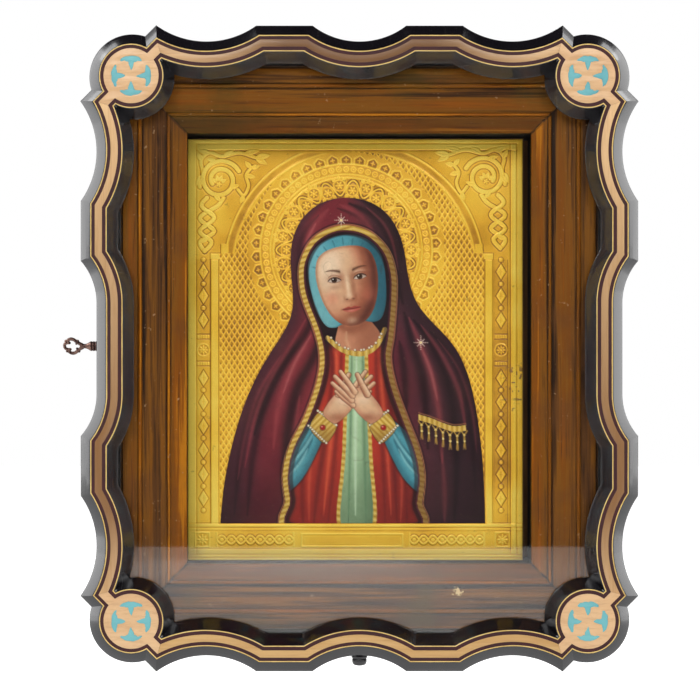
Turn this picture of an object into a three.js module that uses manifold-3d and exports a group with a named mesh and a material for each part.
// A wall kiot: a shallow case of blackened wood with a glazed, wavy-edged door, and an icon in a
// black well behind a brown frame. Millimetres, +Z up, the front faces -Y.
// The origin is the middle of the back, which hangs flat against a wall.
import * as THREE from "three";
import { mergeVertices } from "three/addons/utils/BufferGeometryUtils.js";
import Module from "manifold-3d";

const wasm = await Module();
wasm.setup();

// Clearances that every fit shares.
const fit = {
  glue: 0.1, // a glued joint, also between inlaid strips
  seat: 0.3, // a piece that only rests on its neighbour
  slide: 0.5, // round a piece that moves
  overrun: 4, // how far a cutter passes the face that it opens
};

const icon = {
  width: 283,
  height: 355.5,
  thickness: 22,
  standoff: 8, // from the back of the board to the back panel
  groundThickness: 1.2,
  groundMargin: 0.6,
  splineWidth: 34,
  splineFlare: 3, // how much wider a dovetail is at its bottom, each side
  splineDepth: 4,
  splineReachShare: 0.27, // place above and below the middle, of the height
};

const well = { spareWidth: 7, spareHeight: 2.5, board: 6 };

// The brown frame's profile runs from its outer edge to the sight edge.
const frame = {
  revealSide: 3.5,
  revealTop: 2,
  edgeStrip: 12.2,
  outerBead: 3.9,
  field: 19.6,
  innerBead: 3.2,
  sightBevel: 12.6,
  beadRise: 1.5,
  fieldDrop: 1,
  fieldSlope: 3,
  sightDrop: 8.5,
  edgeThickness: 15,
  setback: 3, // behind the front edge of the case
};

const shell = {
  depth: 84,
  wall: 14,
  back: 8,
  rebate: 6,
  fingers: 7,
};

const door = {
  thickness: 22,
  overhang: 17.1, // past the case at the crests
  bevelWidth: 9,
  bevelDepth: 8,
  innerBevelWidth: 7.4,
  innerBevelDepth: 13,
};

// The hollows of the outline are arcs; between them it runs straight along a crest.
const wave = {
  depth: 12.7,
  topHalf: 37.6, // half the chord of the hollow in the middle of the top
  sideHalf: 70.4, // half the length of the hollow in the middle of a side
  sideRun: 33.7, // the part of that half which is curved
  cornerHalf: 39.9, // half the chord of a hollow beside a corner
  cornerReach: 59.7, // from the corner disc to the middle of that hollow
};

const corner = { inset: 41.6, discRadius: 22.1, neckHalf: 3.6 };

const inlay = { pale: 1.35, dark: 2, light: 6.4, thickness: 1.5, groove: 1.6 };

// One petal of the pierced disc points up and widens into a cap.
const petal = {
  tipRadius: 4.4,
  stemHalf: 1.6,
  capInner: 11.2,
  capOuter: 16,
  endRadius: 14.4,
  endAngle: 32,
  notchAngle: 20,
  groundRadius: 18,
  groundThickness: 0.6,
};

const glass = { thickness: 2, lap: 4.2, bead: 4 }; // it laps over the edge of the case

const hinge = {
  length: 40,
  leafWidth: 9,
  leafThickness: 1.2,
  axisOut: 4.5, // from the side of the case
  barrelRadius: 3.2,
  pinRadius: 1.2,
  headRadius: 2,
  headHeight: 1.2,
  middleShare: 0.36, // the door's knuckle, of the length
};

const lock = {
  skin: 2.2, // wood left outside the lock
  wall: 1.2,
  cover: 1,
  height: 41,
  length: 30,
  plateWidth: 11.4,
  plateHeight: 53,
  plateThickness: 1.4,
  holeRadius: 2.9,
  postRadius: 1.2,
};

const bolt = {
  thickness: 2.8,
  width: 5,
  length: 27.7,
  travel: 7, // in half a turn of the key
  tailWidth: 6,
  tailThickness: 1.6,
  talonRadius: 3,
};

const eye = {
  depth: 10,
  width: 5,
  height: 3,
  endWall: 1,
  rise: 15, // above the key
  plateHeight: 30,
  plateThickness: 1.2,
};

const key = {
  height: 2, // above the middle of the case
  setback: 20, // behind the front edge of the case
  turn: 40, // degrees from upright, as it was left in the lock
  bowLength: 17.2,
  bowWidth: 18,
  bowThickness: 2.6,
  bowRim: 2.6,
  neckRadius: 1.9,
  neckLength: 5.4,
  collarRadius: 4.1,
  collarLength: 6.4,
  collarGap: 8.6, // from the case to the collar
  stemRadius: 2.5,
  pipeRadius: 1.5,
  pipeLength: 9,
  bitRadius: 8,
  bitLength: 2,
  bitThickness: 2.2,
};

const escutcheon = { width: 15, height: 24, thickness: 1.2 };

const knob = {
  rimRadius: 6.55,
  rimHeight: 3.4,
  waistRadius: 5.3,
  height: 9,
  tenonRadius: 3,
  tenonLength: 9,
};

const hanger = {
  width: 24,
  rise: 12, // above the case
  drop: 26, // below its top
  thickness: 2,
  holeRadius: 3,
  earRadius: 7,
};

const steps = { middle: 4, corner: 7, disc: 9, side: 4, bead: 4, round: 16, lobe: 7 };

const mergeDistance = 1e-4;
const diagonal = Math.SQRT1_2;

// Half sizes and depths that follow from the icon outwards.
const iconHalf = [icon.width / 2, icon.height / 2];
const wellHalf = [(icon.width + well.spareWidth) / 2, (icon.height + well.spareHeight) / 2];
const sightHalf = [wellHalf[0] - frame.revealSide, wellHalf[1] - frame.revealTop];
const memberWidth =
  frame.edgeStrip + frame.outerBead + frame.field + frame.innerBead + frame.sightBevel;
const frameHalf = sightHalf.map((half) => half + memberWidth);
const cavityHalf = frameHalf.map((half) => half + fit.seat);
const shellHalf = cavityHalf.map((half) => half + shell.wall);
const doorHalf = shellHalf.map((half) => half + door.overhang);
const rebateHalf = cavityHalf.map((half) => half + glass.lap);

const shellFront = -shell.depth;
const doorBack = shellFront - fit.seat;
const doorFront = doorBack - door.thickness;
const glassFront = doorFront + door.innerBevelDepth + glass.thickness;
const glassBack = glassFront + glass.thickness;
const panelFront = -shell.back;
const frameFront = shellFront + frame.setback;
const frameBack = frameFront + frame.edgeThickness;
const boardBack = panelFront - icon.standoff;
const boardFront = boardBack - icon.thickness;

// Distances of the inlay's edges from the silhouette.
const bandOuter = door.bevelWidth;
const lightOuter = bandOuter + inlay.pale + inlay.dark;
const lightInner = lightOuter + inlay.light;
const bandInner = lightInner + inlay.dark + inlay.pale;
const openingInset = bandInner + door.innerBevelWidth;

const disc = [doorHalf[0] - corner.inset, doorHalf[1] - corner.inset];

const paint = (color, roughness, metalness = 0) =>
  new THREE.MeshStandardMaterial({ color, roughness, metalness, flatShading: true });

const finish = {
  lacquer: paint(0x17151a, 0.2),
  lightWood: paint(0xcda073, 0.45),
  darkWood: paint(0x41161a, 0.4),
  paleWood: paint(0xc4b678, 0.45),
  teal: paint(0x62b2b8, 0.5),
  brownWood: paint(0x6f4520, 0.6),
  blackPaint: paint(0x0f0d0c, 0.9),
  caseWood: paint(0x1d1917, 0.6),
  bareWood: paint(0x9a7448, 0.8),
  gilding: paint(0xd4ac3c, 0.3, 0.9),
  glass: new THREE.MeshStandardMaterial({
    color: 0xe8eeee,
    roughness: 0.05,
    transparent: true,
    opacity: 0.25,
  }),
  bronze: paint(0x4a3a2a, 0.45, 0.8),
  iron: paint(0x3a3835, 0.5, 0.9),
  brass: paint(0xa88a48, 0.4, 0.9),
};

// Turns a closed geometry into a solid that can be cut; its faces may wind either way.
function solidOf(geometry) {
  const bare = new THREE.BufferGeometry();
  bare.setAttribute("position", geometry.getAttribute("position"));
  if (geometry.index) bare.setIndex(geometry.index);
  const merged = mergeVertices(bare, mergeDistance);
  const corners = merged.index.array;
  const faces = [];
  for (let i = 0; i < corners.length; i += 3) {
    const [a, b, c] = corners.slice(i, i + 3);
    if (a !== b && b !== c && c !== a) faces.push([a, b, c]);
  }
  const build = (triangles) =>
    new wasm.Manifold(
      new wasm.Mesh({
        numProp: 3,
        vertProperties: new Float32Array(merged.getAttribute("position").array),
        triVerts: new Uint32Array(triangles.flat()),
      }),
    );
  const solid = build(faces);
  return solid.volume() < 0 ? build(faces.map((face) => face.toReversed())) : solid;
}

function geometryOf(solid) {
  const mesh = solid.getMesh();
  return new THREE.BufferGeometry()
    .setAttribute("position", new THREE.BufferAttribute(mesh.vertProperties, 3))
    .setIndex(new THREE.BufferAttribute(mesh.triVerts, 1));
}

const cut = (body, ...tools) => tools.reduce((rest, tool) => rest.subtract(tool), body);
const join = (body, ...more) => more.reduce((sum, piece) => sum.add(piece), body);

// A box between two places on each axis.
function block([x0, x1], [y0, y1], [z0, z1]) {
  const geometry = new THREE.BoxGeometry(x1 - x0, y1 - y0, z1 - z0);
  geometry.translate((x0 + x1) / 2, (y0 + y1) / 2, (z0 + z1) / 2);
  return solidOf(geometry);
}

// An outline in X and Z, made solid between two depths.
function plate(points, yFront, yBack) {
  const shape = new THREE.Shape(points.map(([x, z]) => new THREE.Vector2(x, z)));
  const geometry = new THREE.ExtrudeGeometry(shape, { depth: yBack - yFront, bevelEnabled: false });
  geometry.rotateX(Math.PI / 2);
  geometry.translate(0, yBack, 0);
  return solidOf(geometry);
}

// A profile of [radius, height] points turned round the Z axis.
function turned(profile, segments = steps.round) {
  const points = profile.map(([radius, height]) => new THREE.Vector2(radius, height));
  return solidOf(new THREE.LatheGeometry(points, segments).rotateX(Math.PI / 2));
}

const rod = (radius, low, high) =>
  turned([
    [0, low],
    [radius, low],
    [radius, high],
    [0, high],
  ]);

// A rod along X instead of Z.
const crossRod = (radius, low, high) => rod(radius, low, high).rotate([0, 90, 0]);

// A point on a circle in X and Z; the angle is in degrees, from +X towards +Z.
function polar([x, z], radius, degrees) {
  const angle = THREE.MathUtils.degToRad(degrees);
  return [x + radius * Math.cos(angle), z + radius * Math.sin(angle)];
}

const arc = (centre, radius, from, to, count) =>
  Array.from({ length: count + 1 }, (_, i) => polar(centre, radius, from + ((to - from) * i) / count));

const angleOf = ([x, z], [cx, cz]) => THREE.MathUtils.radToDeg(Math.atan2(z - cz, x - cx));

// The radius of an arc of the waves' depth whose chord is twice `half`.
const hollowRadius = (half) => (half ** 2 + wave.depth ** 2) / (2 * wave.depth);

// How far from the axis of its hollow an inset arc meets the inset crest.
const crestReach = (half, inset) =>
  Math.sqrt(wave.depth * (2 * (hollowRadius(half) + inset) - wave.depth));

// Where an inset hollow beside a corner meets the neck, and where the neck meets the disc.
function neckPoints(inset) {
  const inside = inset > (lightOuter + lightInner) / 2;
  const growth = inside ? inset - lightInner : lightOuter - inset;
  const radius = corner.discRadius + growth;
  const offset = (corner.neckHalf + growth) * (inside ? -1 : 1);
  const centre = [
    disc[0] - wave.cornerReach,
    doorHalf[1] - wave.depth + hollowRadius(wave.cornerHalf),
  ];
  const hollow = hollowRadius(wave.cornerHalf) + inset;
  const start = disc.map((place) => place + offset * diagonal);
  const along = (distance) => [start[0] - distance * diagonal, start[1] + distance * diagonal];
  const [dx, dz] = [start[0] - centre[0], start[1] - centre[1]];
  const half = (dz - dx) * diagonal;
  const toHollow = -half - Math.sqrt(half ** 2 - (dx ** 2 + dz ** 2 - hollow ** 2));
  const toDisc = Math.sqrt(radius ** 2 - offset ** 2);
  const found = { inside, radius, centre, hollow };
  if (toHollow > toDisc) return { ...found, spike: along(toHollow), root: along(toDisc) };

  // The neck has closed up, so the hollow runs straight into the disc.
  const [ax, az] = [centre[0] - disc[0], centre[1] - disc[1]];
  const apart = Math.hypot(ax, az);
  const run = (radius ** 2 - hollow ** 2 + apart ** 2) / (2 * apart);
  const rise = Math.sqrt(radius ** 2 - run ** 2);
  const meet = [
    disc[0] + (run * ax - rise * az) / apart,
    disc[1] + (run * az + rise * ax) / apart,
  ];
  return { ...found, spike: meet, root: meet };
}

// A quarter of the outline, set in by `inset`, clockwise from the middle of the top: the top run
// ends at the spike, the corner run follows the disc, and the side run starts at the other spike.
function quarter(inset) {
  const { inside, radius, centre, hollow, spike, root } = neckPoints(inset);
  const mirror = ([x, z]) => [disc[0] + (z - disc[1]), disc[1] + (x - disc[0])];

  const topRadius = hollowRadius(wave.topHalf);
  const topCentre = [0, doorHalf[1] - wave.depth + topRadius];
  const topEnd = angleOf([crestReach(wave.topHalf, inset), doorHalf[1] - inset], topCentre);
  const middle = arc(topCentre, topRadius + inset, -90, topEnd, steps.middle);

  const crest = [centre[0] - crestReach(wave.cornerHalf, inset), doorHalf[1] - inset];
  const beside = arc(centre, hollow, angleOf(crest, centre), angleOf(spike, centre), steps.corner);

  const rootAngle = angleOf(root, disc);
  const lastAngle = 90 - rootAngle + (inside ? 360 : 0);
  const round = arc(disc, radius, rootAngle, lastAngle, steps.disc);

  const sideRadius = hollowRadius(wave.sideRun);
  const sideCentre = [doorHalf[0] - wave.depth + sideRadius, wave.sideHalf - wave.sideRun];
  const sideStart = [doorHalf[0] - inset, sideCentre[1] + crestReach(wave.sideRun, inset)];
  const waist = arc(sideCentre, sideRadius + inset, angleOf(sideStart, sideCentre), 180, steps.side);

  return {
    top: [...middle, ...beside],
    corner: round,
    side: [...beside.map(mirror).toReversed(), ...waist],
  };
}

const flip = (points, [sx, sz]) => points.map(([x, z]) => [x * sx, z * sz]);

// The whole outline, clockwise from the middle of the top.
function outline(inset) {
  const { top, corner: round, side } = quarter(inset);
  const upper = [...top, ...round, ...side];
  const right = [...upper, ...flip(upper, [1, -1]).toReversed()];
  return [...right, ...flip(right.slice(1, -1), [-1, 1]).toReversed()];
}

const rectangle = ([halfX, halfZ]) => [
  [-halfX, halfZ],
  [halfX, halfZ],
  [halfX, -halfZ],
  [-halfX, -halfZ],
];

// A closed ring lofted through stations that go once round its cross-section.
function ring(stations) {
  const count = stations[0].loop.length;
  const positions = stations.flatMap(({ loop, y }) => loop.flatMap(([x, z]) => [x, y, z]));
  const faces = stations.flatMap((_, i) => {
    const here = i * count;
    const next = ((i + 1) % stations.length) * count;
    return stations[0].loop.flatMap((_, k) => {
      const l = (k + 1) % count;
      return [here + k, here + l, next + l, here + k, next + l, next + k];
    });
  });
  const geometry = new THREE.BufferGeometry();
  geometry.setAttribute("position", new THREE.Float32BufferAttribute(positions, 3));
  geometry.setIndex(faces);
  return solidOf(geometry);
}

// Cuts a ring into four members, mitred at 45 degrees through the corner point.
function mitred(whole, [cornerX, cornerZ]) {
  const shift = fit.glue * diagonal;
  const rise = cornerZ - cornerX;
  const reach = 2 * (cornerX + cornerZ);
  const wedge = (points) => plate(points, 2 * doorFront, fit.overrun);
  const upper = [
    [0, rise + shift],
    [reach, rise + shift + reach],
    [-reach, rise + shift + reach],
  ];
  const right = [
    [shift - rise, 0],
    [shift - rise + reach, reach],
    [shift - rise + reach, -reach],
  ];
  return {
    top: whole.intersect(wedge(upper)),
    bottom: whole.intersect(wedge(flip(upper, [1, -1]))),
    left: whole.intersect(wedge(flip(right, [-1, 1]))),
    right: whole.intersect(wedge(right)),
  };
}

const kiot = new THREE.Group();

function add(name, geometry, material, parent = kiot) {
  const mesh = new THREE.Mesh(geometry, material);
  mesh.name = name;
  parent.add(mesh);
  return mesh;
}

const addSolid = (name, solid, material, parent) => add(name, geometryOf(solid), material, parent);

// Places that the lock, the door and the case share.
const keyAxis = { y: shellFront + key.setback, z: key.height };
const lockOuter = -shellHalf[0] + lock.skin;
const lockInner = -cavityHalf[0] - fit.glue;
const lockBack = shellFront + lock.length;
const lockLift = lock.wall + fit.slide;
const boltX = lockOuter + lock.wall + fit.slide + eye.width / 2;
const eyeZ = keyAxis.z + eye.rise;
const eyeBack = doorBack + eye.depth;
const boltBack = eyeBack - eye.endWall - fit.slide;
const boltY = [boltBack - bolt.width, boltBack];
const hingeAxis = [shellHalf[0] + hinge.axisOut, (shellFront + doorBack) / 2];
const hingeHeight = (wave.sideHalf + disc[1] - wave.cornerReach - wave.cornerHalf) / 2;

// Door frame: one bevelled ring with a groove for the inlay and a rebate for the glass.
function doorFrame() {
  const grooveFloor = doorFront + inlay.groove;
  const bevelFoot = doorFront + door.bevelDepth;
  const lipFront = doorFront + door.innerBevelDepth;
  const whole = ring([
    { loop: outline(0), y: doorBack },
    { loop: outline(0), y: bevelFoot },
    { loop: outline(bandOuter), y: doorFront },
    { loop: outline(bandOuter), y: grooveFloor },
    { loop: outline(bandInner), y: grooveFloor },
    { loop: outline(bandInner), y: doorFront },
    { loop: outline(openingInset), y: lipFront },
    { loop: outline(openingInset), y: doorBack },
  ]);
  const rebate = plate(rectangle(rebateHalf), glassFront, doorBack + fit.overrun);
  const tenonHole = rod(knob.tenonRadius + fit.glue, -knob.tenonLength - fit.glue, fit.overrun);
  const seats = [-1, 1].flatMap((side) => {
    const middle = side * hingeHeight;
    const span = [middle - hinge.length / 2 - fit.glue, middle + hinge.length / 2 + fit.glue];
    const leaf = block(
      [hingeAxis[0] - hinge.leafWidth - fit.glue, hingeAxis[0]],
      [doorBack - hinge.leafThickness - fit.glue, doorBack + fit.overrun],
      span,
    );
    const room = hinge.barrelRadius + fit.slide;
    const head = hinge.headHeight + fit.slide;
    const barrel = block(
      [hingeAxis[0] - room, hingeAxis[0] + room],
      [hingeAxis[1] - room, doorBack + fit.overrun],
      [span[0] - head, span[1] + head],
    );
    return [leaf, barrel];
  });
  const eyeSeat = block(
    [boltX - eye.width / 2 - fit.glue, boltX + eye.width / 2 + fit.glue],
    [doorBack - eye.plateThickness - fit.glue, doorBack + fit.overrun],
    [eyeZ - eye.plateHeight / 2 - fit.glue, eyeZ + eye.plateHeight / 2 + fit.glue],
  );
  const knobHole = tenonHole
    .rotate([180, 0, 0])
    .translate([0, knobPlace[1], knobPlace[2]]);
  const members = mitred(cut(whole, rebate, ...seats, eyeSeat, knobHole), disc);
  addSolid("door_rail_top", members.top, finish.lacquer);
  addSolid("door_rail_bottom", members.bottom, finish.lacquer);
  addSolid("door_stile_left", members.left, finish.lacquer);
  addSolid("door_stile_right", members.right, finish.lacquer);
}

// Stringing: thin loops of veneer beside the light band.
function stringing() {
  const loops = [
    ["stringing_pale_outer", bandOuter, bandOuter + inlay.pale, finish.paleWood],
    ["stringing_dark_outer", bandOuter + inlay.pale, lightOuter, finish.darkWood],
    ["stringing_dark_inner", lightInner, lightInner + inlay.dark, finish.darkWood],
    ["stringing_pale_inner", lightInner + inlay.dark, bandInner, finish.paleWood],
  ];
  for (const [name, from, to, material] of loops) {
    const near = outline(from + fit.glue / 2);
    const far = outline(to - fit.glue / 2);
    const back = doorFront + inlay.thickness;
    const strip = ring([
      { loop: near, y: back },
      { loop: near, y: doorFront },
      { loop: far, y: doorFront },
      { loop: far, y: back },
    ]);
    addSolid(name, strip, material);
  }
}

// Moves both ends of a run inwards along it.
function shortened(run, gap) {
  const pull = ([x, z], [nx, nz]) => {
    const share = gap / Math.hypot(nx - x, nz - z);
    return [x + (nx - x) * share, z + (nz - z) * share];
  };
  return [pull(run[0], run[1]), ...run.slice(1, -1), pull(run.at(-1), run.at(-2))];
}

function petalOutline(grow) {
  const { tipRadius, stemHalf, capInner, capOuter, endRadius, endAngle, notchAngle } = petal;
  const half = [
    [stemHalf + grow, capInner - grow],
    polar([0, 0], capInner - grow, 90 - notchAngle),
    polar([0, 0], endRadius, 90 - endAngle - grow),
  ];
  const cap = arc([0, 0], capOuter + grow, 90 - notchAngle - grow, 90 + notchAngle + grow, steps.bead);
  return [[0, tipRadius - 2 * grow], ...half, ...cap, ...flip(half, [-1, 1]).toReversed()];
}

const petals = (grow, yFront, yBack) =>
  [0, 90, 180, 270].map((turn) =>
    plate(petalOutline(grow), yFront, yBack).rotate([0, turn, 0]),
  );

// Light veneer: a band along each side, and a pierced disc with two necks in each corner.
function lightInlay() {
  const near = quarter(lightOuter + fit.glue / 2);
  const far = quarter(lightInner - fit.glue / 2);
  const back = doorFront + inlay.thickness;
  const band = (outer, inner) => {
    const inward = shortened(inner, fit.glue).toReversed();
    return plate([...shortened(outer, fit.glue), ...inward], doorFront, back);
  };

  const acrossTop = ({ top }) => [...flip(top.slice(1), [-1, 1]).toReversed(), ...top];
  const topOuter = acrossTop(near);
  const topInner = acrossTop(far);
  addSolid("inlay_band_top", band(topOuter, topInner), finish.lightWood);
  const bottom = band(flip(topOuter, [1, -1]), flip(topInner, [1, -1]));
  addSolid("inlay_band_bottom", bottom, finish.lightWood);
  const downSide = ({ side }) => [...side, ...flip(side, [1, -1]).toReversed()];
  const sideOuter = downSide(near);
  const sideInner = downSide(far);
  addSolid("inlay_band_right", band(sideOuter, sideInner), finish.lightWood);
  const left = band(flip(sideOuter, [-1, 1]), flip(sideInner, [-1, 1]));
  addSolid("inlay_band_left", left, finish.lightWood);

  const outerEdge = [near.top.at(-1), ...near.corner, near.side[0]];
  const innerEdge = [far.top.at(-1), ...far.corner, far.side[0]];
  const groundFront = back - petal.groundThickness;
  const pocket = rod(petal.groundRadius + fit.glue, groundFront - fit.glue, back + fit.overrun);
  const corners = [
    ["top_left", [-1, 1]],
    ["top_right", [1, 1]],
    ["bottom_right", [1, -1]],
    ["bottom_left", [-1, -1]],
  ];
  for (const [place, sign] of corners) {
    const centre = [disc[0] * sign[0], 0, disc[1] * sign[1]];
    const whole = plate(flip([...outerEdge, ...innerEdge.toReversed()], sign), doorFront, back);
    const openings = petals(fit.glue, doorFront - fit.overrun, back + fit.overrun);
    const tools = [pocket.rotate([-90, 0, 0]), ...openings].map((tool) => tool.translate(centre));
    addSolid("inlay_disc_" + place, cut(whole, ...tools), finish.lightWood);

    const base = rod(petal.groundRadius, groundFront, back).rotate([-90, 0, 0]);
    const ground = join(base, ...petals(0, doorFront, back));
    addSolid("disc_ground_" + place, ground, finish.teal).position.set(...centre);
  }
}

// Glass, and the four beads that hold it in the rebate.
function glazing() {
  const paneHalf = rebateHalf.map((half) => half - fit.seat);
  addSolid("glass_pane", plate(rectangle(paneHalf), glassFront + fit.glue, glassBack), finish.glass);
  const [halfX, halfZ] = rebateHalf.map((half) => half - fit.glue);
  const depth = [glassBack + fit.glue, doorBack];
  const across = [-halfX, halfX];
  const between = [-halfZ + glass.bead + fit.glue, halfZ - glass.bead - fit.glue];
  const beads = {
    top: [across, [halfZ - glass.bead, halfZ]],
    bottom: [across, [-halfZ, -halfZ + glass.bead]],
    left: [[-halfX, -halfX + glass.bead], between],
    right: [[halfX - glass.bead, halfX], between],
  };
  for (const [side, [x, z]] of Object.entries(beads))
    addSolid("glazing_bead_" + side, block(x, depth, z), finish.lacquer);
}

// The knob's neck is glued up into the bottom rail, in the middle of its hollow.
const knobPlace = [0, (doorBack + doorFront + door.bevelDepth) / 2, wave.depth - doorHalf[1]];

function bottomKnob() {
  const { rimRadius, rimHeight, waistRadius, height, tenonRadius, tenonLength } = knob;
  const round = height - rimHeight;
  const top = fit.seat + rimRadius ** 2 / (2 * hollowRadius(wave.topHalf));
  const nose = arc([0, -rimHeight], waistRadius, 0, -90, steps.bead).map(([r, z]) => [
    r,
    -rimHeight + ((z + rimHeight) * round) / waistRadius,
  ]);
  const profile = [
    [0, tenonLength],
    [tenonRadius, tenonLength],
    [tenonRadius, -top],
    [rimRadius - fit.slide, -top],
    [rimRadius, -top - fit.slide],
    [rimRadius, -rimHeight + fit.slide],
    [rimRadius - fit.slide, -rimHeight],
    ...nose.slice(0, -1),
    [0, -height],
  ];
  addSolid("bottom_knob", turned(profile), finish.lacquer).position.set(...knobPlace);
}

// Case: four boards with finger joints, rebated behind for the back panel.
function caseBoards() {
  const [halfX, halfZ] = shellHalf;
  const depth = [shellFront, 0];
  const pitch = shell.depth / shell.fingers;
  const slots = (odd, grow) =>
    Array.from({ length: shell.fingers }, (_, i) => i)
      .filter((i) => i % 2 === odd)
      .map((i) => [
        i === 0 ? shellFront - fit.overrun : shellFront + i * pitch - grow,
        i === shell.fingers - 1 ? fit.overrun : shellFront + (i + 1) * pitch + grow,
      ]);
  const ends = [
    [-halfX - fit.overrun, -cavityHalf[0] + fit.glue],
    [cavityHalf[0] - fit.glue, halfX + fit.overrun],
  ];
  const tips = [
    [-halfZ - fit.overrun, -cavityHalf[1] + fit.glue],
    [cavityHalf[1] - fit.glue, halfZ + fit.overrun],
  ];
  const rebateOut = cavityHalf.map((half) => half + shell.rebate);
  const rebate = plate(rectangle(rebateOut), panelFront - fit.glue, fit.overrun);

  const through = ([low, high]) => [low - fit.overrun, high + fit.overrun];
  const lying = (z) =>
    ends.flatMap((x) => slots(0, fit.glue / 2).map((y) => block(x, y, through(z))));
  const standing = (x) =>
    tips.flatMap((z) => slots(1, fit.glue / 2).map((y) => block(through(x), y, z)));
  const across = [-halfX, halfX];
  const upright = [-halfZ, halfZ];
  const high = [cavityHalf[1], halfZ];
  const low = [-halfZ, -cavityHalf[1]];
  const left = [-halfX, -cavityHalf[0]];
  const right = [cavityHalf[0], halfX];

  const hangerSeat = block(
    [-hanger.width / 2 - fit.glue, hanger.width / 2 + fit.glue],
    [-hanger.thickness - fit.glue, fit.overrun],
    [halfZ - hanger.drop - fit.glue, halfZ + fit.overrun],
  );
  const leafSeats = [-1, 1].map((side) =>
    block(
      [hingeAxis[0] - hinge.leafWidth - fit.glue, halfX + fit.overrun],
      [shellFront - fit.overrun, shellFront + hinge.leafThickness + fit.glue],
      [
        side * hingeHeight - hinge.length / 2 - fit.glue,
        side * hingeHeight + hinge.length / 2 + fit.glue,
      ],
    ),
  );
  const board = (name, x, z, ...tools) =>
    addSolid(name, cut(block(x, depth, z), rebate, ...tools), finish.caseWood);
  board("case_top", across, high, ...lying(high), hangerSeat);
  board("case_bottom", across, low, ...lying(low));
  board("case_left", left, upright, ...standing(left), ...lockMortise());
  board("case_right", right, upright, ...standing(right), ...leafSeats);

  const panelHalf = rebateOut.map((half) => half - fit.glue);
  const panel = plate(rectangle(panelHalf), panelFront, 0);
  addSolid("back_panel", cut(panel, hangerSeat), finish.bareWood);
}

// Hanging plate, let in flush behind the top of the case; its ear stands behind the door.
function hangingPlate() {
  const top = shellHalf[1] + hanger.rise;
  const neck = top - hanger.earRadius;
  const half = hanger.width / 2;
  const low = shellHalf[1] - hanger.drop;
  const shoulder = shellHalf[1] - hanger.drop / 4;
  const ear = arc([0, neck], hanger.earRadius, 0, 180, 2 * steps.bead);
  const sides = [
    [-half, low],
    [half, low],
    [half, shoulder],
  ];
  const body = plate([...sides, ...ear, [-half, shoulder]], -hanger.thickness, 0);
  const hole = rod(hanger.holeRadius, -fit.overrun, fit.overrun).rotate([90, 0, 0]);
  addSolid("hanging_plate", cut(body, hole.translate([0, 0, neck])), finish.iron);
}

// The brown frame's moulding, mitred round the sight opening.
function innerFrame() {
  const at = (distance, drop) => ({
    loop: rectangle(frameHalf.map((half) => half - distance)),
    y: frameFront + drop,
  });
  const bead = (start, width, drop) =>
    Array.from({ length: steps.bead + 1 }, (_, i) => {
      const angle = (Math.PI * i) / steps.bead;
      return at(start + (width * (1 - Math.cos(angle))) / 2, drop - frame.beadRise * Math.sin(angle));
    });
  const fieldStart = frame.edgeStrip + frame.outerBead;
  const fieldEnd = fieldStart + frame.field;
  const bevelStart = fieldEnd + frame.innerBead;
  const fieldFoot = frame.fieldDrop + frame.fieldSlope;
  const whole = ring([
    at(0, frame.edgeThickness),
    at(0, 0),
    ...bead(frame.edgeStrip, frame.outerBead, 0),
    at(fieldStart, frame.fieldDrop),
    at(fieldEnd, fieldFoot),
    ...bead(fieldEnd, frame.innerBead, fieldFoot - frame.fieldDrop),
    at(bevelStart, fieldFoot),
    at(memberWidth, frame.sightDrop),
    at(memberWidth, frame.edgeThickness),
  ]);
  for (const [side, member] of Object.entries(mitred(whole, frameHalf)))
    addSolid("inner_frame_" + side, member, finish.brownWood);
}

// Four thin boards line the well between the brown frame and the back panel.
function wellBoards() {
  const depth = [frameBack + fit.glue, panelFront - fit.glue];
  const [innerX, innerZ] = wellHalf;
  const outerX = innerX + well.board;
  const outerZ = innerZ + well.board;
  const inside = [-innerX, innerX];
  const height = [-outerZ, outerZ];
  addSolid("well_left", block([-outerX, -innerX - fit.glue], depth, height), finish.blackPaint);
  addSolid("well_right", block([innerX + fit.glue, outerX], depth, height), finish.blackPaint);
  addSolid("well_top", block(inside, depth, [innerZ, outerZ]), finish.blackPaint);
  addSolid("well_bottom", block(inside, depth, [-outerZ, -innerZ]), finish.blackPaint);
}

// The icon stands on the floor of the well, against its left side.
const iconCentre = [fit.seat + iconHalf[0] - wellHalf[0], fit.seat + iconHalf[1] - wellHalf[1]];

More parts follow.
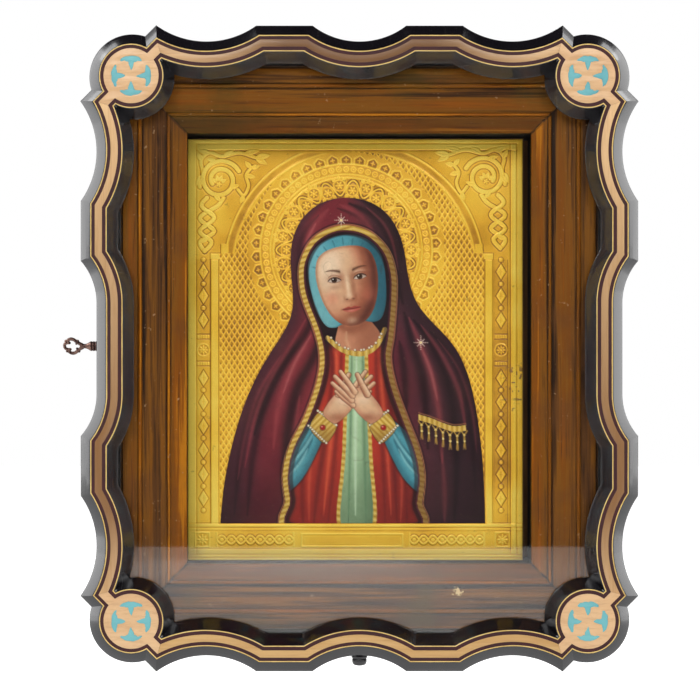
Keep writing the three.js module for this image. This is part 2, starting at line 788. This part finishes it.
function iconBoard() {
  const [x, z] = iconCentre;
  const across = [x - iconHalf[0], x + iconHalf[0]];
  const depth = [boardFront, boardBack];
  const board = block(across, depth, [z - iconHalf[1], z + iconHalf[1]]);
  const dovetail = (length, grow) => {
    const half = icon.splineWidth / 2 + grow;
    const deep = icon.splineDepth + grow;
    const shape = new THREE.Shape([
      new THREE.Vector2(icon.standoff - fit.seat, -half),
      new THREE.Vector2(icon.standoff - fit.seat, half),
      new THREE.Vector2(0, half),
      new THREE.Vector2(-deep, half + icon.splineFlare),
      new THREE.Vector2(-deep, -half - icon.splineFlare),
      new THREE.Vector2(0, -half),
    ]);
    const bar = new THREE.ExtrudeGeometry(shape, { depth: length, bevelEnabled: false });
    bar.translate(0, 0, -length / 2);
    return solidOf(bar).rotate([90, 0, 90]);
  };
  const places = [
    ["upper", z + icon.height * icon.splineReachShare],
    ["lower", z - icon.height * icon.splineReachShare],
  ];
  const grooves = places.map(([, height]) =>
    dovetail(icon.width + 2 * fit.overrun, fit.glue).translate([x, boardBack, height]),
  );
  addSolid("icon_board", cut(board, ...grooves), finish.bareWood);
  for (const [place, height] of places) {
    const spline = dovetail(icon.width, 0).translate([x, boardBack, height]);
    addSolid("icon_spline_" + place, spline, finish.bareWood);
  }

  const ground = plate(
    rectangle(iconHalf.map((half) => half - icon.groundMargin)),
    boardFront - icon.groundThickness,
    boardFront - fit.glue,
  );
  addSolid("gilded_ground", ground.translate([x, 0, z]), finish.gilding);
}

// Hinges: the case leaf carries the outer knuckles and the pin, the door leaf the middle one.
function hinges() {
  const half = hinge.length / 2;
  const middle = (hinge.length * hinge.middleShare) / 2;
  const reach = -hinge.leafWidth;
  const step = (shellFront - doorBack) / 2;
  const clear = hinge.barrelRadius + fit.slide;
  const bore = rod(hinge.pinRadius + fit.glue, -half - fit.overrun, half + fit.overrun);
  const leaf = (side, knuckles) => {
    const face = side * step;
    const depth = side > 0 ? [face, face + hinge.leafThickness] : [face - hinge.leafThickness, face];
    const flap = block([reach, -clear], depth, [-half, half]);
    const rolls = knuckles.flatMap((span) => [
      block([-clear - fit.glue, 0], depth, span),
      rod(hinge.barrelRadius, ...span),
    ]);
    return cut(join(flap, ...rolls), bore);
  };
  const gap = fit.seat / 2;
  const caseLeaf = leaf(1, [
    [-half, -middle - gap],
    [middle + gap, half],
  ]);
  const doorLeaf = leaf(-1, [[gap - middle, middle - gap]]);
  const { pinRadius, headRadius, headHeight } = hinge;
  const end = half + fit.glue;
  const pin = turned([
    [0, -end - headHeight],
    [headRadius - fit.seat, -end - headHeight],
    [headRadius, -end],
    [pinRadius, -end],
    [pinRadius, end],
    [headRadius, end],
    [headRadius - fit.seat, end + headHeight],
    [0, end + headHeight],
  ]);
  for (const [place, side] of [["upper", 1], ["lower", -1]]) {
    const group = new THREE.Group();
    group.position.set(hingeAxis[0], hingeAxis[1], side * hingeHeight);
    kiot.add(group);
    addSolid("hinge_" + place + "_case_leaf", caseLeaf, finish.brass, group);
    addSolid("hinge_" + place + "_door_leaf", doorLeaf, finish.brass, group);
    addSolid("hinge_" + place + "_pin", pin, finish.brass, group);
  }
}

// A keyhole along X: a round hole with a slot for the bit below it.
function keyhole(low, high) {
  const slot = key.bitThickness / 2 + fit.slide;
  return join(
    crossRod(lock.holeRadius, low, high),
    block([low, high], [-slot, slot], [-key.bitRadius - fit.slide, 0]),
  ).translate([0, keyAxis.y, keyAxis.z]);
}

// A height round the lock, which sits a little above its key.
function lockSpan(height, grow) {
  const middle = keyAxis.z + lockLift;
  return [middle - height / 2 - grow, middle + height / 2 + grow];
}

function lockMortise() {
  const plateX = (lockOuter + lockInner) / 2;
  return [
    block(
      [lockOuter - fit.glue, -cavityHalf[0] + fit.overrun],
      [shellFront - fit.overrun, lockBack + fit.glue],
      lockSpan(lock.height, fit.glue),
    ),
    block(
      [plateX - lock.plateWidth / 2 - fit.glue, -cavityHalf[0] + fit.overrun],
      [shellFront - fit.overrun, shellFront + lock.plateThickness + fit.glue],
      lockSpan(lock.plateHeight, fit.glue),
    ),
    keyhole(-shellHalf[0] - fit.overrun, lockOuter + fit.overrun),
  ];
}

// Lock: a tray behind its front plate, closed by a cover that carries the post for the pipe key.
function caseLock() {
  const plateX = (lockOuter + lockInner) / 2;
  const trayInner = lockInner - lock.cover - fit.glue;
  const tray = block([lockOuter, trayInner], [shellFront, lockBack], lockSpan(lock.height, 0));
  const front = block(
    [plateX - lock.plateWidth / 2, Math.min(plateX + lock.plateWidth / 2, lockInner)],
    [shellFront, shellFront + lock.plateThickness],
    lockSpan(lock.plateHeight, 0),
  );
  const inside = lockSpan(lock.height - 2 * lock.wall, 0);
  const hollow = block(
    [lockOuter + lock.wall, trayInner + fit.overrun],
    [shellFront + lock.plateThickness, lockBack - lock.wall],
    inside,
  );
  const mouth = block(
    [boltX - eye.width / 2 - fit.slide, boltX + eye.width / 2 + fit.slide],
    [shellFront - fit.overrun, shellFront + fit.overrun],
    [eyeZ - eye.height / 2 - fit.slide, eyeZ + eye.height / 2 + fit.slide],
  );
  const keyWay = keyhole(lockOuter - fit.overrun, lockOuter + 2 * lock.wall);
  addSolid("lock_case", cut(join(tray, front), hollow, mouth, keyWay), finish.iron);

  const sheet = block(
    [trayInner + fit.glue, lockInner],
    [shellFront + lock.plateThickness + fit.glue, lockBack],
    lockSpan(lock.height, 0),
  );
  const postTip = keyEnd - key.pipeLength + 2 * fit.slide;
  const post = crossRod(lock.postRadius, postTip, trayInner + fit.glue + lock.cover / 2);
  addSolid("lock_cover", join(sheet, post.translate([0, keyAxis.y, keyAxis.z])), finish.iron);
}

// Bolt: a bar that rises through the eye, with a tail whose notch the key's bit drives.
function lockBolt() {
  const top = eyeZ - eye.height / 2 - fit.slide;
  const bar = block(
    [boltX - bolt.thickness / 2, boltX + bolt.thickness / 2],
    boltY,
    [top - bolt.length, top],
  );
  const tailX = [boltX + bolt.thickness / 2 - bolt.tailThickness, boltX + bolt.thickness / 2];
  const tailHalf = eye.rise - eye.height / 2 - bolt.travel - fit.slide; // stays below the eye
  const tailZ = [keyAxis.z - tailHalf, keyAxis.z + tailHalf];
  const tail = block(tailX, [boltY[1] - fit.glue, boltY[1] + bolt.tailWidth], tailZ);
  const talon = crossRod(bolt.talonRadius, tailX[0] - fit.overrun, tailX[1] + fit.overrun).translate([
    0,
    boltY[1] + bolt.tailWidth,
    keyAxis.z,
  ]);
  addSolid("lock_bolt", cut(join(bar, tail), talon), finish.iron);
}

// The eye on the door stands in the lock's mouth when the door is shut.
function doorEye() {
  const base = block(
    [boltX - eye.width / 2, boltX + eye.width / 2],
    [doorBack - eye.plateThickness, doorBack],
    [eyeZ - eye.plateHeight / 2, eyeZ + eye.plateHeight / 2],
  );
  const tongue = block(
    [boltX - eye.width / 2, boltX + eye.width / 2],
    [doorBack - eye.plateThickness / 2, eyeBack],
    [eyeZ - eye.height / 2, eyeZ + eye.height / 2],
  );
  const hole = block(
    [boltX - bolt.thickness / 2 - fit.seat, boltX + bolt.thickness / 2 + fit.seat],
    [boltY[0] - fit.slide, boltY[1] + fit.slide],
    [eyeZ - eye.height, eyeZ + eye.height],
  );
  addSolid("door_eye", cut(join(base, tongue), hole), finish.iron);
}

// Key, built along X with its tip at the right, then set in the lock and turned.
const keyEnd = lockInner - lock.cover - 2 * fit.glue - fit.seat;

function lockKey() {
  const stemStart = -shellHalf[0] - key.collarGap;
  const collarStart = stemStart - key.collarLength;
  const neckStart = collarStart - key.neckLength;
  const lobe = key.bowWidth / 4;
  const bowCentre = [neckStart - key.bowLength + key.bowWidth / 2, 0];
  const bowY = [-key.bowThickness / 2, key.bowThickness / 2];
  // Three round lobes and a taper into the neck; the opening has the same form, a rim smaller.
  const trefoil = (rim, tip, depth) => {
    const round = [90, 180, 270].map((turn) =>
      plate(arc(polar(bowCentre, lobe, turn), lobe - rim, 0, 360, 2 * steps.lobe).slice(1), ...depth),
    );
    const cheek = [bowCentre[0], 2 * (lobe - rim)];
    const [cheekBelow, tipBelow] = flip([cheek, tip], [1, -1]);
    const heart = [[bowCentre[0] - lobe, 0], cheek, tip, tipBelow, cheekBelow];
    return join(plate(heart, ...depth), ...round);
  };
  const open = bowY.map((place) => place * fit.overrun);
  const rim = trefoil(0, [neckStart, key.neckRadius], bowY);
  const bow = cut(rim, trefoil(key.bowRim, [neckStart - 2 * key.bowRim, fit.glue], open));

  const ringWidth = key.collarLength / 5;
  const groove = key.collarRadius - fit.slide;
  const stem = turned([
    [0, neckStart - key.bowRim / 2],
    [key.neckRadius, neckStart - key.bowRim / 2],
    [key.neckRadius, collarStart],
    [key.collarRadius, collarStart],
    [key.collarRadius, collarStart + ringWidth],
    [groove, collarStart + 2 * ringWidth],
    [key.collarRadius, collarStart + 3 * ringWidth],
    [groove, collarStart + 4 * ringWidth],
    [key.collarRadius, stemStart],
    [key.stemRadius, stemStart],
    [key.stemRadius, keyEnd],
    [key.pipeRadius, keyEnd],
    [key.pipeRadius, keyEnd - key.pipeLength],
    [0, keyEnd - key.pipeLength],
  ]).rotate([0, 90, 0]);
  const bitStart = lockOuter + lock.wall + fit.seat;
  const bit = block(
    [bitStart, bitStart + key.bitLength],
    [-key.bitThickness / 2, key.bitThickness / 2],
    [-key.bitRadius, -key.pipeRadius - fit.seat],
  );
  const mesh = addSolid("key", join(bow, stem, bit), finish.bronze);
  mesh.position.set(0, keyAxis.y, keyAxis.z);
  mesh.rotation.x = THREE.MathUtils.degToRad(key.turn);
}

function keyPlate() {
  const outside = -shellHalf[0] - fit.glue;
  const half = [escutcheon.width / 2, escutcheon.height / 2];
  const oval = arc([0, 0], 1, 0, 360, steps.round)
    .slice(1)
    .map(([x, z]) => [x * half[0], z * half[1]]);
  const blank = plate(oval, 0, escutcheon.thickness)
    .rotate([0, 0, 90])
    .translate([outside, keyAxis.y, keyAxis.z]);
  const span = [outside - escutcheon.thickness - fit.overrun, outside + fit.overrun];
  addSolid("escutcheon", cut(blank, keyhole(...span)), finish.brass);
}

doorFrame();
stringing();
lightInlay();
glazing();
bottomKnob();
caseBoards();
hangingPlate();
innerFrame();
wellBoards();
iconBoard();
hinges();
caseLock();
lockBolt();
doorEye();
lockKey();
keyPlate();

export default kiot;
